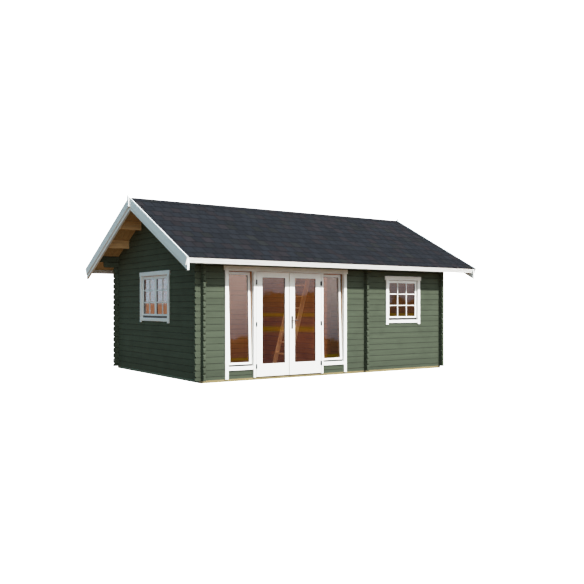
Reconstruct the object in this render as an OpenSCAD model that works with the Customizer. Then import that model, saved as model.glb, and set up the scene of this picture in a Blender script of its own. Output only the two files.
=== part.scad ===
// Garden log cabin: interlocking log walls on foundation beams, a pitched shingle roof,
// a glazed double door between two tall side windows, and two small paned windows.
// Millimetres. +Z is up, the front faces -Y, and the origin is the middle of the footprint.

/* [Walls] */
// Length of the building over the outer faces of the gable walls
wall_len = 5775; // [5300:5:7000]
// Depth of the building over the outer faces of the front and rear walls
wall_dep = 3875; // [3200:5:4700]
// Thickness of a wall log
log_t = 44; // [34:1:58]
// Height of a wall log
log_h = 114; // [95:1:137]
// How many whole logs the front wall has above its first half log
log_rows = 20; // [19:1:22]
// How far the logs run past the corners
log_over = 107; // [85:1:140]
// Depth of the V groove between two logs
groove_d = 5; // [2:1:8]
// Half the height of the V groove between two logs
groove_h = 7; // [3:1:10]
// Chamfer on the ends of the logs
end_chamfer = 26; // [10:1:35]
// How far the second log from the top runs past the gable walls
corbel_reach = 324; // [250:1:400]
// Radius under the end of that log
corbel_r = 45; // [20:1:60]
// Distance from the middle of the building to the partition wall
partition_x = 752; // [620:1:900]
// Distance from the middle of the building to the near side of the doorway in the partition
partition_door_y = 700; // [550:10:900]
// Width of the doorway in the partition
partition_door_w = 800; // [600:10:900]

/* [Base] */
// Height of the foundation beams
beam_h = 45; // [36:1:60]
// Width of the foundation beams
beam_w = 70; // [58:1:90]
// Thickness of the floor boards
floor_t = 19; // [15:1:26]
// Gap between the floor boards and the walls
floor_gap = 3; // [2:1:10]

/* [Roof] */
// Pitch of the roof in degrees
pitch = 27; // [24:0.5:29]
// Thickness of the roof boards
board_t = 19; // [16:1:25]
// Thickness of the shingles
shingle_t = 8; // [5:1:12]
// Overhang of the roof boards in front of the front wall
eave_over = 496; // [420:1:600]
// Overhang of the roof boards past the gable walls
verge_over = 467; // [400:1:550]
// How far the shingles reach past the fascias
shingle_drip = 4; // [0:1:20]
// Height of the eave fascia boards
fascia_h = 100; // [80:1:130]
// Thickness of the eave fascia boards
fascia_t = 18; // [15:1:25]
// Height of the inner verge boards
verge_h = 200; // [170:1:240]
// Thickness of the inner verge boards
verge_t = 40; // [30:1:50]
// How far the plumb ends of the inner verge boards reach past the roof boards
verge_tip = 16; // [5:1:40]
// How far the outer bargeboards reach past the fascias, along the slope
barge_tip = 26; // [10:1:50]
// Height of the outer bargeboards
barge_h = 136; // [110:1:165]
// Thickness of the outer bargeboards
barge_t = 20; // [15:1:25]
// Thickness of the strips that cap the verges
cap_t = 12; // [8:1:16]
// How far the cap strips lie over the shingles
cap_lap = 5; // [3:1:20]
// Width of the purlins
purlin_w = 44; // [34:1:60]
// Height of a slope purlin at its upper face
purlin_h = 165; // [130:1:180]
// Distance from the ridge line to the inner face of the upper purlins
purlin_upper = 660; // [560:1:760]
// Distance from the ridge line to the inner face of the lower purlins
purlin_lower = 1308; // [1180:1:1400]
// Height of the ridge purlin below the roof boards at the ridge
ridge_purlin_h = 150; // [120:1:180]
// Width of one side of the ridge cap
ridge_cap_w = 120; // [90:1:160]
// Thickness of the ridge cap
ridge_cap_t = 4; // [3:1:8]
// Width of the finials
finial_w = 60; // [45:1:80]
// Thickness of the finials
finial_t = 26; // [18:1:32]
// How far the finials rise above the ridge
finial_rise = 66; // [40:1:100]
// Length of the finials
finial_len = 239; // [200:1:280]

/* [Entrance] */
// Distance from the middle of the building to the middle of the entrance, to the left
entrance_x = 1057; // [1020:1:1090]
// Half the clear width between the door jambs
door_half = 730; // [650:1:760]
// Width of the face of a door jamb
jamb_w = 51; // [40:1:60]
// Clear width of each side window
side_clear = 508; // [430:1:540]
// Width of the outer posts beside the side windows
post_w = 36; // [30:1:50]
// How far the entrance frame stands proud of the wall
frame_proud = 30; // [22:1:40]
// Depth of the entrance frame from front to back
frame_depth = 94; // [80:1:110]
// Thickness of a door leaf
leaf_t = 40; // [36:1:46]
// Height of the lower edge of the door leaves above the ground
leaf_z0 = 56; // [53:1:66]
// How many whole logs of the front wall the entrance is high, above the first half log
entrance_rows = 17; // [16:1:18]
// Height of the head over the doors and side windows
head_h = 83; // [70:1:95]
// How far the door sill stands out in front of the wall
sill_lip = 8; // [0:1:20]
// Clearance between a door leaf and its jamb
leaf_gap = 6; // [5:1:8]
// Clearance between the two door leaves where they meet
meet_gap = 9; // [8:1:12]
// How far the meeting line lies left of the middle of the entrance
meet_off = 12; // [0:1:20]
// Width of the hinge stiles of the door leaves
hinge_stile = 130; // [100:1:145]
// Width of the meeting stile of the left leaf
meet_stile_l = 88; // [70:1:110]
// Width of the meeting stile of the right leaf
meet_stile_r = 128; // [90:1:140]
// Height of the bottom rail of the door leaves
bottom_rail = 232; // [150:1:300]
// Height of the top rail of the door leaves
top_rail = 101; // [80:1:130]
// Diameter of the hinge barrels
barrel_d = 16; // [12:1:16]
// Length of the hinge barrels
barrel_len = 86; // [60:1:110]
// Distance from the ends of a leaf to the middle of its end hinges
hinge_in = 188; // [120:1:250]
// Width of the hinge flaps on the leaves
flap_w = 16; // [10:1:30]
// Height of the handle spindle above the ground
handle_z = 1068; // [950:1:1150]
// Length of the lever handle
lever_len = 112; // [90:1:130]

/* [Side windows] */
// Height of the top of the low log panels under the side windows
panel_z1 = 190; // [170:1:205]
// Height of the top of the sills of the side windows
side_sill_z1 = 260; // [250:1:270]
// Height of the lower edge of the side window sashes
side_sash_z0 = 286; // [274:1:290]
// Distance from the top of the side window sashes to the head above
side_head_gap = 12; // [10:1:40]
// Lean of the side window sashes, inwards at the top, in degrees
side_tilt = 2; // [0:0.1:2.2]

/* [Small windows] */
// Distance from the middle of the building to the middle of the front window
front_win_x = 1802; // [1720:1:1860]
// Clear width between the side trims of the front window
front_win_w = 812; // [700:1:860]
// Clear width between the side trims of the gable window
gable_win_w = 1222; // [1000:1:1300]
// Height of the top of the front window sill above the ground
win_sill_z1 = 1047; // [1035:1:1060]
// Clear height of the small windows above their sills
win_h = 818; // [700:1:860]
// Height of the window sills
win_sill_h = 64; // [50:1:70]
// How far the gable window sits above the front window
gable_win_up = 57; // [40:1:80]

/* [Joinery] */
// Width of the white trims beside windows and entrance
trim_w = 70; // [55:1:90]
// Height of the white trims over windows and entrance
header_h = 82; // [65:1:95]
// Thickness of the trims
trim_t = 22; // [15:1:25]
// How far a header trim runs past the side trims at each end
header_over = 24; // [5:1:30]
// How far the side trims of the entrance run down over the front beam
leg_drop = 5; // [0:1:20]
// How far the side trims run below a small window's sill
trim_foot = 32; // [0:1:60]
// Thickness of the window linings behind the trims
lining_t = 26; // [18:1:32]
// How far the window linings stand out inside the walls
lining_in = 20; // [5:1:30]
// Width of the window sash members
sash_w = 44; // [35:1:55]
// Width of the side window sash stiles
side_stile_w = 54; // [45:1:65]
// Height of the bottom rails of the side window sashes
side_foot = 42; // [36:1:70]
// Height of the top rails of the side window sashes
side_top = 50; // [40:1:70]
// Thickness of the window sashes
sash_t = 34; // [28:1:36]
// Thickness of the window panes
glass_t = 4; // [3:1:8]
// Clearance around a sash in its frame
sash_gap = 6; // [4:1:8]
// Height of the top rails of the small window sashes
sash_top = 56; // [40:1:65]
// Height of the bottom rails of the small window sashes
sash_foot = 36; // [30:1:50]
// Height of the dark weather strip below a small window's sash
strip_h = 38; // [20:1:42]

/* [Ladder] */
// Distance from the middle of the building to the middle of the ladder, towards the rear wall
ladder_y = 90; // [-100:10:300]
// Width of the ladder over its side boards
ladder_w = 578; // [420:1:620]
// Lean of the ladder towards the partition, in degrees
ladder_lean = 15.7; // [12:0.1:20]
// Height above the floor at which the ladder meets the partition
ladder_top = 2090; // [1800:10:2150]
// How far the side boards go on above that height
ladder_rise = 90; // [0:10:150]
// Level width of the side boards
ladder_board_w = 104; // [80:1:120]
// Thickness of the side boards
ladder_board_t = 28; // [20:1:34]
// Height of the first tread above the floor, to its top
tread_first = 240; // [200:1:280]
// Rise from one tread to the next
tread_rise = 250; // [220:1:280]
// Depth of a tread
tread_w = 78; // [50:1:90]
// Thickness of a tread
tread_t = 26; // [20:1:32]

/* [Hidden] */
$fn = 48;
fit = 0.3;
seat = 0.1;
e = 0.01;
hx = wall_len / 2;
hy = wall_dep / 2;
slope = tan(pitch);
// Height of the front face of the front wall under the roof boards
wall_top = beam_h + log_h * (log_rows + 0.5) - 10.5;
// Height of the meeting line of the shingles at the ridge
roof_t = (board_t + shingle_t) / cos(pitch);
ridge_z = wall_top + hy * slope + roof_t;
// Length along the slope from the ridge to the end of the roof boards
board_u = (hy + eave_over) / cos(pitch) + board_t * tan(pitch);
fascia_u = board_u + fascia_t;
verge_u = (hy + eave_over + verge_tip) / cos(pitch) + verge_h;
// Seams of the front and rear walls start half a log above the beams, those of the gables a whole log
first_front = beam_h + log_h / 2;
first_gable = beam_h + log_h;
corbel_row = first_front + log_h * (log_rows - 2);
frame_y0 = -hy - frame_proud;
frame_y1 = frame_y0 + frame_depth;
side_sash_y = frame_y1 - sash_t;
bay0 = door_half + jamb_w;
bay1 = bay0 + side_clear;
post1 = bay1 + post_w;
head_z1 = first_front + log_h * entrance_rows;
head_z0 = head_z1 - head_h;
leaf_z1 = head_z0 - leaf_gap;
side_sash_h = head_z0 - side_head_gap - side_sash_z0;
// Underside of the header trim of the entrance
header_z = head_z0 + leaf_gap;
leaf_y0 = frame_y0 + 2;
leaf_y1 = leaf_y0 + leaf_t;
pin_y = frame_y0 - barrel_d / 2 - 0.5;
flap_y = leaf_y0 - 4;
hinge_z = [leaf_z0 + hinge_in, (leaf_z0 + leaf_z1) / 2, leaf_z1 - hinge_in];
leaf_l0 = -door_half + leaf_gap;
leaf_l1 = -meet_off - meet_gap / 2;
leaf_r0 = -meet_off + meet_gap / 2;
leaf_r1 = door_half - leaf_gap;
glass_z0 = leaf_z0 + bottom_rail;
glass_z1 = leaf_z1 - top_rail;
white = "whitesmoke";
green = [0.42, 0.46, 0.37];
pine = "burlywood";
glass_c = [0.45, 0.38, 0.34, 0.6];

// Height of what carries the roof boards at a distance y from the ridge line
function under(y) = ridge_z - roof_t - seat - abs(y) * slope;
// Point at distance u down a slope and n above the shingle surface, on the front slope
function on_slope(u, n) = [-u * cos(pitch) - n * sin(pitch), ridge_z - u * sin(pitch) + n * cos(pitch)];
// Upper end of a layer of the front slope at distance n above the shingle surface; the two slopes meet dry
function at_ridge(n) = [-fit / 2, ridge_z - slope * fit / 2 + n / cos(pitch)];
function seams(z0, z1, first, h) = [for (z = first; z < z1 - h; z = z + log_h) if (z > z0 + h) z];
function reversed(list) = [for (i = [len(list) - 1:-1:0]) list[i]];
// Edge of a log wall going up, with a V of depth d and half height h at each seam
function vee(x, into, s, d, h) = [[x, s - h], [x + into * d, s], [x, s + h]];
function notched(x, into, z0, z1, first, d, h) =
  concat([[x, z0]], [for (s = seams(z0, z1, first, h)) each vee(x, into, s, d, h)], [[x, z1]]);

// Carries a drawing of (y, z) along x from x0 to x1
module along_x(x0, x1) translate([x0, 0, 0]) rotate([90, 0, 90]) linear_extrude(x1 - x0) children();
// Carries a drawing of (x, z) along y from y0 to y1
module along_y(y0, y1) translate([0, y1, 0]) rotate([90, 0, 0]) linear_extrude(y1 - y0) children();
module block(x0, x1, y0, y1, z0, z1) translate([x0, y0, z0]) cube([x1 - x0, y1 - y0, z1 - z0]);
module rect(x0, x1, z0, z1) translate([x0, z0]) square([x1 - x0, z1 - z0]);
module both_sides() {
  children();
  mirror([1, 0, 0]) children();
}
module both_slopes() {
  children();
  mirror([0, 1, 0]) children();
}

// Cross section of a log wall from outer face a to inner face b, with its top cut to the slope
module log_section(a, b, z0, top_a, top_b, first)
  polygon(concat(notched(a, sign(b - a), z0, top_a, first, groove_d, groove_h),
    reversed(notched(b, sign(a - b), z0, top_b, first, groove_d, groove_h))));

// Slots through which the logs of a crossing wall pass; the other wall keeps what is between
module crossing_slots(x, first_slot, top)
  for (z = [first_slot:log_h:top]) rect(x, x + log_t, z, z + log_h / 2);
module front_slots(x) crossing_slots(x, beam_h + log_h / 4, wall_top + log_h);
module gable_slots(y) crossing_slots(y, beam_h - log_h / 4, wall_top);

// End of a front or rear wall beyond the gable: chamfered logs, then the two corbel logs above
module wall_end() {
  x = hx + log_over;
  c = end_chamfer;
  polygon(concat([[hx - log_t - e, beam_h]], notched(x, -1, beam_h, corbel_row - c, first_front, c, c),
    [[x - c, corbel_row], [hx - log_t - e, corbel_row]]));
  difference() {
    rect(hx - log_t - e, hx + corbel_reach, corbel_row, corbel_row + log_h);
    difference() {
      rect(hx + corbel_reach - corbel_r, hx + corbel_reach + 1, corbel_row - 1, corbel_row + corbel_r);
      translate([hx + corbel_reach - corbel_r, corbel_row + corbel_r]) circle(corbel_r);
    }
  }
  rect(hx - log_t - e, hx + verge_over, corbel_row + log_h, under(hy - log_t));
}
// Cuts a drawing of (x, z) to the section of the front wall
module front_logs(x0, x1) color(green) intersection() {
  along_y(-hy, -hy + log_t) children();
  along_x(x0, x1) log_section(-hy, -hy + log_t, beam_h, under(hy), under(hy - log_t), first_front);
}

module long_beams() color(pine) both_slopes() block(-hx, hx, -hy, -hy + beam_w, 0, beam_h);
module short_beam(x0) block(x0, x0 + beam_w, -hy + beam_w, hy - beam_w, 0, beam_h);
module cross_beams() color("darkslategray") {
  both_sides() short_beam(hx - beam_w);
  short_beam(partition_x - beam_w / 2 + log_t / 2);
}
// The floor runs through the doorway of the partition and stops at the back of the entrance frame
module floor_boards() color(pine) difference() {
  x = hx - log_t - floor_gap;
  y = hy - log_t - floor_gap;
  door = [-partition_door_y - partition_door_w + floor_gap, -partition_door_y - floor_gap];
  block(-x, x, -y, y, beam_h, beam_h + floor_t);
  for (side = [[-hy, door[0]], [door[1], hy]])
    block(partition_x - floor_gap, partition_x + log_t + floor_gap, side[0], side[1], beam_h - 1,
      beam_h + floor_t + 1);
  block(-entrance_x - post1 - fit, -entrance_x + post1 + fit, -hy, frame_y1 + fit, beam_h - 1,
    beam_h + floor_t + 1);
}

module front_wall_left() front_logs(-hx - verge_over, -entrance_x - post1) difference() {
  union() {
    mirror([1, 0]) wall_end();
    rect(-hx + log_t, -entrance_x - post1, beam_h, under(hy - log_t));
  }
  front_slots(-hx);
}
module front_wall_over_door() front_logs(-entrance_x - post1, -entrance_x + post1)
  rect(-entrance_x - post1, -entrance_x + post1, head_z1, under(hy - log_t));
module front_wall_right() front_logs(-entrance_x + post1, hx + verge_over) difference() {
  union() {
    wall_end();
    rect(-entrance_x + post1, hx - log_t, beam_h, under(hy - log_t));
  }
  front_slots(hx - log_t);
  front_slots(partition_x);
  window_hole(front_win_x, front_win_w, 0);
}
module front_panel_logs() color(green) for (s = [-1, 1])
  along_x(-entrance_x + (s < 0 ? -bay1 : bay0), -entrance_x + (s < 0 ? -bay0 : bay1))
    log_section(-hy, -hy + log_t, beam_h, panel_z1, panel_z1, first_front);
module rear_wall() color(green) intersection() {
  along_y(hy - log_t, hy) difference() {
    union() {
      both_sides() wall_end();
      rect(-hx + log_t, hx - log_t, beam_h, under(hy - log_t));
    }
    front_slots(-hx);
    front_slots(hx - log_t);
    front_slots(partition_x);
  }
  along_x(-hx - verge_over, hx + verge_over)
    log_section(hy, hy - log_t, beam_h, under(hy), under(hy - log_t), first_front);
}

// Outline of half a gable wall from the ridge line out, as (y, z) points going up its end
function gable_edge(y, z0) = notched(y, -1, z0, under(y), first_gable, end_chamfer, end_chamfer);
// Full gable outline
module gable_outline() {
  y = hy + log_over;
  edge = gable_edge(y, beam_h);
  polygon(concat([for (p = edge) p], [[0, under(0)]], [for (p = reversed(edge)) [-p[0], p[1]]]));
}
module purlin_slots() {
  rect(-purlin_w / 2 - fit, purlin_w / 2 + fit, under(0) - ridge_purlin_h, under(0) + 1);
  for (s = [-1, 1], y = [purlin_upper, purlin_lower])
    rect(s > 0 ? y - fit : -y - purlin_w - fit, s > 0 ? y + purlin_w + fit : -y + fit,
      under(y) - purlin_h, under(y) + 1);
}
// A gable shaped log wall between x0 and x0 + log_t, with a hole drawn by the children
module gable_logs(x0) color(green) intersection() {
  along_x(x0, x0 + log_t) difference() {
    gable_outline();
    purlin_slots();
    gable_slots(-hy);
    gable_slots(hy - log_t);
    children();
  }
  along_y(-hy - log_over, hy + log_over)
    log_section(x0, x0 + log_t, beam_h, under(0), under(0), first_gable);
}
module left_gable_wall() gable_logs(-hx) window_hole(0, gable_win_w, gable_win_up);
module right_gable_wall() gable_logs(hx - log_t);
partition_head = first_gable + log_h * 16;
// The partition is in three parts, one on each side of its doorway and one over it
module partition_sides() {
  for (k = [0, 1]) gable_logs(partition_x) {
    if (k == 0) rect(-partition_door_y - partition_door_w, hy + log_over + 1, 0, ridge_z);
    if (k == 1) rect(-hy - log_over - 1, -partition_door_y, 0, ridge_z);
  }
}
module partition_over_door() gable_logs(partition_x) {
  rect(-hy - log_over - 1, -partition_door_y - partition_door_w, 0, ridge_z);
  rect(-partition_door_y, hy + log_over + 1, 0, ridge_z);
  rect(-partition_door_y - partition_door_w, -partition_door_y, 0, partition_head);
}

// Ladder leaning on the partition; its side boards are cut level at the floor and plumb at the wall
floor_z = beam_h + floor_t;
// Place along x of the upper edge of the side boards at a height above the floor
function ladder_x(z) = partition_x - fit - (ladder_top - z) * tan(ladder_lean);
module ladder_board() {
  z1 = ladder_top + ladder_rise;
  x1 = ladder_x(ladder_top);
  w = ladder_board_w;
  polygon([[ladder_x(0) - w, 0], [ladder_x(0), 0], [x1, ladder_top], [x1, z1], [ladder_x(z1) - w, z1]]);
}
module loft_ladder() color(pine) translate([0, ladder_y, floor_z + e]) {
  both_slopes() along_y(ladder_w / 2 - ladder_board_t, ladder_w / 2) ladder_board();
  y = (ladder_w - ladder_board_t) / 2;
  for (z = [tread_first:tread_rise:ladder_top])
    along_y(-y, y) translate([ladder_x(z) - (ladder_board_w + tread_w) / 2, z - tread_t])
      square([tread_w, tread_t]);
}

roof_x = hx + verge_over;
barge_x = roof_x + verge_t;
module slope_purlin(y) along_x(-roof_x + fit, roof_x - fit)
  polygon([[y, under(y) - purlin_h], [y + purlin_w, under(y) - purlin_h],
    [y + purlin_w, under(y + purlin_w)], [y, under(y)]]);
module ridge_purlin() along_x(-roof_x + fit, roof_x - fit) {
  w = purlin_w / 2;
  z = under(0) - ridge_purlin_h;
  polygon([[-w, z], [w, z], [w, under(w)], [0, under(0)], [-w, under(w)]]);
}
module purlins() color(pine) {
  ridge_purlin();
  both_slopes() for (y = [purlin_upper, purlin_lower]) slope_purlin(y);
}

// A layer of both slopes between heights n0 and n1, from the ridge to u
module layer(x, n0, n1, u) both_slopes() along_x(-x, x)
  polygon([at_ridge(n0), at_ridge(n1), on_slope(u, n1), on_slope(u, n0)]);
module roof_boards() color(pine) layer(roof_x, -shingle_t - board_t, -shingle_t, board_u);
// The shingles reach over the inner verge boards
module shingles() color("dimgray") layer(roof_x + verge_t, -shingle_t, 0, fascia_u + shingle_drip);
module ridge_cap() color("dimgray") along_x(-barge_x + cap_lap, barge_x - cap_lap) {
  foot = on_slope(ridge_cap_w, 0);
  edge = on_slope(ridge_cap_w, ridge_cap_t);
  polygon([[0, ridge_z], foot, edge, [0, ridge_z + ridge_cap_t / cos(pitch)], [-edge[0], edge[1]],
    [-foot[0], foot[1]]]);
}
module fascias() color(white) both_slopes() along_x(-roof_x + fit, roof_x - fit)
  polygon([for (p = [[board_u, 0], [fascia_u, 0], [fascia_u, -fascia_h], [board_u, -fascia_h]])
    on_slope(p[0], p[1] - shingle_t - fit)]);

// Inner verge boards, plumb cut at their lower ends
module verge_boards() color(white) both_sides() both_slopes() along_x(roof_x, roof_x + verge_t)
  intersection() {
    polygon([for (p = [[0, -verge_h], [0, -shingle_t], [verge_u, -shingle_t], [verge_u, -verge_h]])
      p[0] == 0 ? at_ridge(p[1]) : on_slope(p[0], p[1])]);
    rect(-hy - eave_over - verge_tip, 0, 0, ridge_z);
  }
// Outer bargeboards, square cut at their lower ends
barge_u = fascia_u + barge_tip;
module bargeboards() color(white) both_sides() both_slopes() along_x(barge_x, barge_x + barge_t)
  polygon([at_ridge(-barge_h), at_ridge(0), on_slope(barge_u, 0), on_slope(barge_u, -barge_h)]);
module verge_caps() color(white) both_sides() both_slopes() along_x(barge_x - cap_lap, barge_x + barge_t)
  polygon([at_ridge(seat), at_ridge(cap_t), on_slope(barge_u, cap_t), on_slope(barge_u, seat)]);
module finials() color(white) both_sides() along_x(barge_x + barge_t, barge_x + barge_t + finial_t) {
  z0 = ridge_z + finial_rise - finial_len;
  w = finial_w / 2;
  polygon([[-w, z0], [w, z0], [w, ridge_z], [0, ridge_z + finial_rise], [-w, ridge_z]]);
}

// Entrance: two posts on each side, a head over all, and a sill under the doors
module at_entrance() translate([-entrance_x, 0, 0]) children();
module entrance_posts() color(white) at_entrance() both_sides() {
  block(door_half, bay0, frame_y0, frame_y1, beam_h, head_z0);
  block(bay1, post1, -hy, frame_y1, beam_h, head_z0);
}
module entrance_head() color(white) at_entrance() block(-post1, post1, -hy, frame_y1, head_z0, head_z1);
module door_sill() color(pine) at_entrance()
  block(-door_half, door_half, -hy - sill_lip, frame_y1, beam_h, leaf_z0 - leaf_gap);
module side_window_sills() color(white) at_entrance() both_sides()
  block(bay0, bay1, frame_y0 + 2, frame_y1, panel_z1, side_sill_z1);
module entrance_trims() color(white) at_entrance() {
  both_sides() block(bay1, bay1 + trim_w, -hy - trim_t, -hy, beam_h - leg_drop, header_z);
  block(-bay1 - trim_w - header_over, bay1 + trim_w + header_over, -hy - trim_t, -hy,
    header_z, header_z + header_h);
}

// Side window sashes lean inwards at the top, turning about their lower front edges
module leaning() translate([0, side_sash_y, side_sash_z0]) rotate([-side_tilt, 0, 0]) children();
module ring(x0, x1, z0, z1, w, r0, r1, y0, y1) along_y(y0, y1) difference() {
  rect(x0, x1, z0, z1);
  rect(x0 + w, x1 - w, z0 + r0, z1 - r1);
}
module side_window_sashes() color(white) at_entrance() both_sides() leaning()
  ring(bay0 + sash_gap, bay1 - sash_gap, 0, side_sash_h, side_stile_w, side_foot, side_top, 0, sash_t);
module side_window_glass() color(glass_c) at_entrance() both_sides() leaning()
  block(bay0 + sash_gap + side_stile_w, bay1 - sash_gap - side_stile_w, 14, 14 + glass_t,
    side_foot, side_sash_h - side_top);

// Door leaves, glass and hinges; x is measured from the middle of the entrance
module leaf(x0, x1, stile0, stile1) along_y(leaf_y0, leaf_y1) difference() {
  rect(x0, x1, leaf_z0, leaf_z1);
  rect(x0 + stile0, x1 - stile1, glass_z0, glass_z1);
}
module leaf_glass(x0, x1) block(x0, x1, leaf_y0 + 18, leaf_y0 + 18 + glass_t, glass_z0, glass_z1);
// Barrels stand just clear of the jamb face, each with a flap on the leaf
module hinges() for (z = hinge_z) translate([-door_half, 0, z - barrel_len / 2]) {
  translate([0, pin_y, 0]) cylinder(d = barrel_d, h = barrel_len);
  translate([0, flap_y, 0]) cube([leaf_gap + flap_w, leaf_y0 - flap_y, barrel_len]);
  translate([barrel_d / 4, pin_y, 0]) cube([barrel_d / 4, leaf_y0 - pin_y, barrel_len]);
}
module left_door_leaf() color(white) at_entrance() leaf(leaf_l0, leaf_l1, hinge_stile, meet_stile_l);
module right_door_leaf() color(white) at_entrance() leaf(leaf_r0, leaf_r1, meet_stile_r, hinge_stile);
module left_door_glass() color(glass_c) at_entrance()
  leaf_glass(leaf_l0 + hinge_stile, leaf_l1 - meet_stile_l);
module right_door_glass() color(glass_c) at_entrance()
  leaf_glass(leaf_r0 + meet_stile_r, leaf_r1 - hinge_stile);
module left_door_hinges() color("dimgray") at_entrance() hinges();
module right_door_hinges() color("dimgray") at_entrance() mirror([1, 0, 0]) hinges();
handle_x = leaf_r0 + meet_stile_r / 2 - 8;
module door_handle() color("silver") at_entrance() translate([handle_x, leaf_y0, handle_z]) {
  block(-18, 18, -8, 0, -160, 80);
  rotate([90, 0, 0]) cylinder(d = 18, h = 52);
  block(-9, lever_len, -52, -38, -9, 9);
}

// Small windows: x is along the wall, y runs into it from the outer face at 0
function half_hole(w) = w / 2 + lining_t;
module window_hole(x, w, up) translate([x, up])
  rect(-half_hole(w), half_hole(w), win_sill_z1 - win_sill_h, win_sill_z1 + win_h + lining_t);
module window_frame(w) {
  along_y(0, log_t + lining_in) difference() {
    window_hole(0, w, 0);
    rect(-w / 2, w / 2, win_sill_z1, win_sill_z1 + win_h);
  }
}
sash_y = 18;
sash_z0 = win_sill_z1 + strip_h + fit;
sash_z1 = win_sill_z1 + win_h - sash_gap;
module window_sash(x0, x1)
  ring(x0, x1, sash_z0, sash_z1, sash_w, sash_foot, sash_top, sash_y, sash_y + sash_t);
module window_glass(x0, x1) block(x0 + sash_w, x1 - sash_w, sash_y + 14, sash_y + 14 + glass_t,
  sash_z0 + sash_foot, sash_z1 - sash_top);
module window_strip(w) block(-w / 2, w / 2, sash_y + 2, sash_y + sash_t - 2, win_sill_z1, sash_z0 - fit);
module window_trims(w) {
  z1 = win_sill_z1 + win_h;
  both_sides() block(w / 2, w / 2 + trim_w, -trim_t, 0, win_sill_z1 - win_sill_h - trim_foot, z1);
  block(-w / 2 - trim_w - header_over, w / 2 + trim_w + header_over, -trim_t, 0, z1, z1 + header_h);
  block(-w / 2, w / 2, -trim_t, 0, win_sill_z1 - win_sill_h, win_sill_z1);
}
module at_front_window() translate([front_win_x, -hy, 0]) children();
module at_gable_window() translate([-hx, 0, gable_win_up]) rotate([0, 0, -90]) children();
module front_window_frame() color(white) at_front_window() window_frame(front_win_w);
module front_window_sash() color(white) at_front_window()
  window_sash(-front_win_w / 2 + sash_gap, front_win_w / 2 - sash_gap);
module front_window_glass() color(glass_c) at_front_window()
  window_glass(-front_win_w / 2 + sash_gap, front_win_w / 2 - sash_gap);
module front_window_trims() color(white) at_front_window() window_trims(front_win_w);
module gable_window_frame() color(white) at_gable_window() window_frame(gable_win_w);
module gable_window_sashes() color(white) at_gable_window() both_sides()
  window_sash(sash_gap / 2, gable_win_w / 2 - sash_gap);
module gable_window_glass() color(glass_c) at_gable_window() both_sides()
  window_glass(sash_gap / 2, gable_win_w / 2 - sash_gap);
module gable_window_trims() color(white) at_gable_window() window_trims(gable_win_w);
module window_strips() color("dimgray") {
  at_front_window() window_strip(front_win_w);
  at_gable_window() window_strip(gable_win_w);
  at_entrance() both_sides() block(bay0, bay1, side_sash_y + 2, frame_y1 - 2, side_sill_z1,
    side_sash_z0 - sash_t * sin(side_tilt) - fit);
}

long_beams();
cross_beams();
floor_boards();
front_wall_left();
front_wall_over_door();
front_wall_right();
front_panel_logs();
rear_wall();
left_gable_wall();
right_gable_wall();
partition_sides();
partition_over_door();
loft_ladder();
purlins();
roof_boards();
shingles();
ridge_cap();
fascias();
verge_boards();
bargeboards();
verge_caps();
finials();
entrance_posts();
entrance_head();
door_sill();
side_window_sills();
entrance_trims();
side_window_sashes();
side_window_glass();
window_strips();
left_door_leaf();
left_door_glass();
left_door_hinges();
right_door_leaf();
right_door_glass();
right_door_hinges();
door_handle();
front_window_frame();
front_window_sash();
front_window_glass();
front_window_trims();
gable_window_frame();
gable_window_sashes();
gable_window_glass();
gable_window_trims();
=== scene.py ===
"""Finishes and fine joinery of a garden log cabin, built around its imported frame. Metres, Z up."""

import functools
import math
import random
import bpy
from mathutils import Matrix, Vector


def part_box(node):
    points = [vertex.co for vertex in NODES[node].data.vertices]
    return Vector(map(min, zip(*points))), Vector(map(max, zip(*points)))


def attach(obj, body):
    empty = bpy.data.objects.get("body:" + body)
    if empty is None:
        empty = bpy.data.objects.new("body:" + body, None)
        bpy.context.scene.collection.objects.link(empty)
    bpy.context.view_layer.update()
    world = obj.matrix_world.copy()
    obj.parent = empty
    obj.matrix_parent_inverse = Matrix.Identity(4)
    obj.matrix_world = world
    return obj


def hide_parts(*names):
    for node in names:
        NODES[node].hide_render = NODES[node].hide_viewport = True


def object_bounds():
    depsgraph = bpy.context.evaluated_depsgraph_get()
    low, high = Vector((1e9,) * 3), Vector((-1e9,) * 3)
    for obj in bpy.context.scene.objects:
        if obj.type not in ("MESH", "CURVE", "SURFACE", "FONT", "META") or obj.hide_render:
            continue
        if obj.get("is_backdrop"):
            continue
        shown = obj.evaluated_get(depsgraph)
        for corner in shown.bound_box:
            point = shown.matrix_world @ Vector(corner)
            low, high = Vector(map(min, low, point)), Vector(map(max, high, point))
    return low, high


bl_info = {
    "name": "Log Cabin",
    "version": (1, 0, 0),
    "blender": (4, 5, 0),
    "location": "View3D > Sidebar > Cabin",
    "description": "Builds the finishes and fine joinery of a garden log cabin on its frame",
    "category": "Add Mesh",
}

import bmesh
import bpy
from bpy.props import FloatProperty, FloatVectorProperty, IntProperty, PointerProperty
from mathutils import Matrix, Vector

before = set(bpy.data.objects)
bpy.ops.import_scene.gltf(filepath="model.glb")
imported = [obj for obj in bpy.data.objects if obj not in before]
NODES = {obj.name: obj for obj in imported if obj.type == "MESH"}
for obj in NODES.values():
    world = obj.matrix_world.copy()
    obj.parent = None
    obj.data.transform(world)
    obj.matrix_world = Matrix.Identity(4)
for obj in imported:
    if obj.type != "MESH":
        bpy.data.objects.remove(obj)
CAD_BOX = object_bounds()

CABIN, LEFT_DOOR, RIGHT_DOOR = "cabin", "left_door", "right_door"
X, Y, Z = Vector((1, 0, 0)), Vector((0, 1, 0)), Vector((0, 0, 1))
PITCH = math.radians(27)
SASH_LEAN = math.radians(2)
MERGE = 1e-5
FLAT = math.radians(0.5)
SHARP = math.radians(30)
# Half the thickness of a log
LOG_HALF = 0.022
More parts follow.
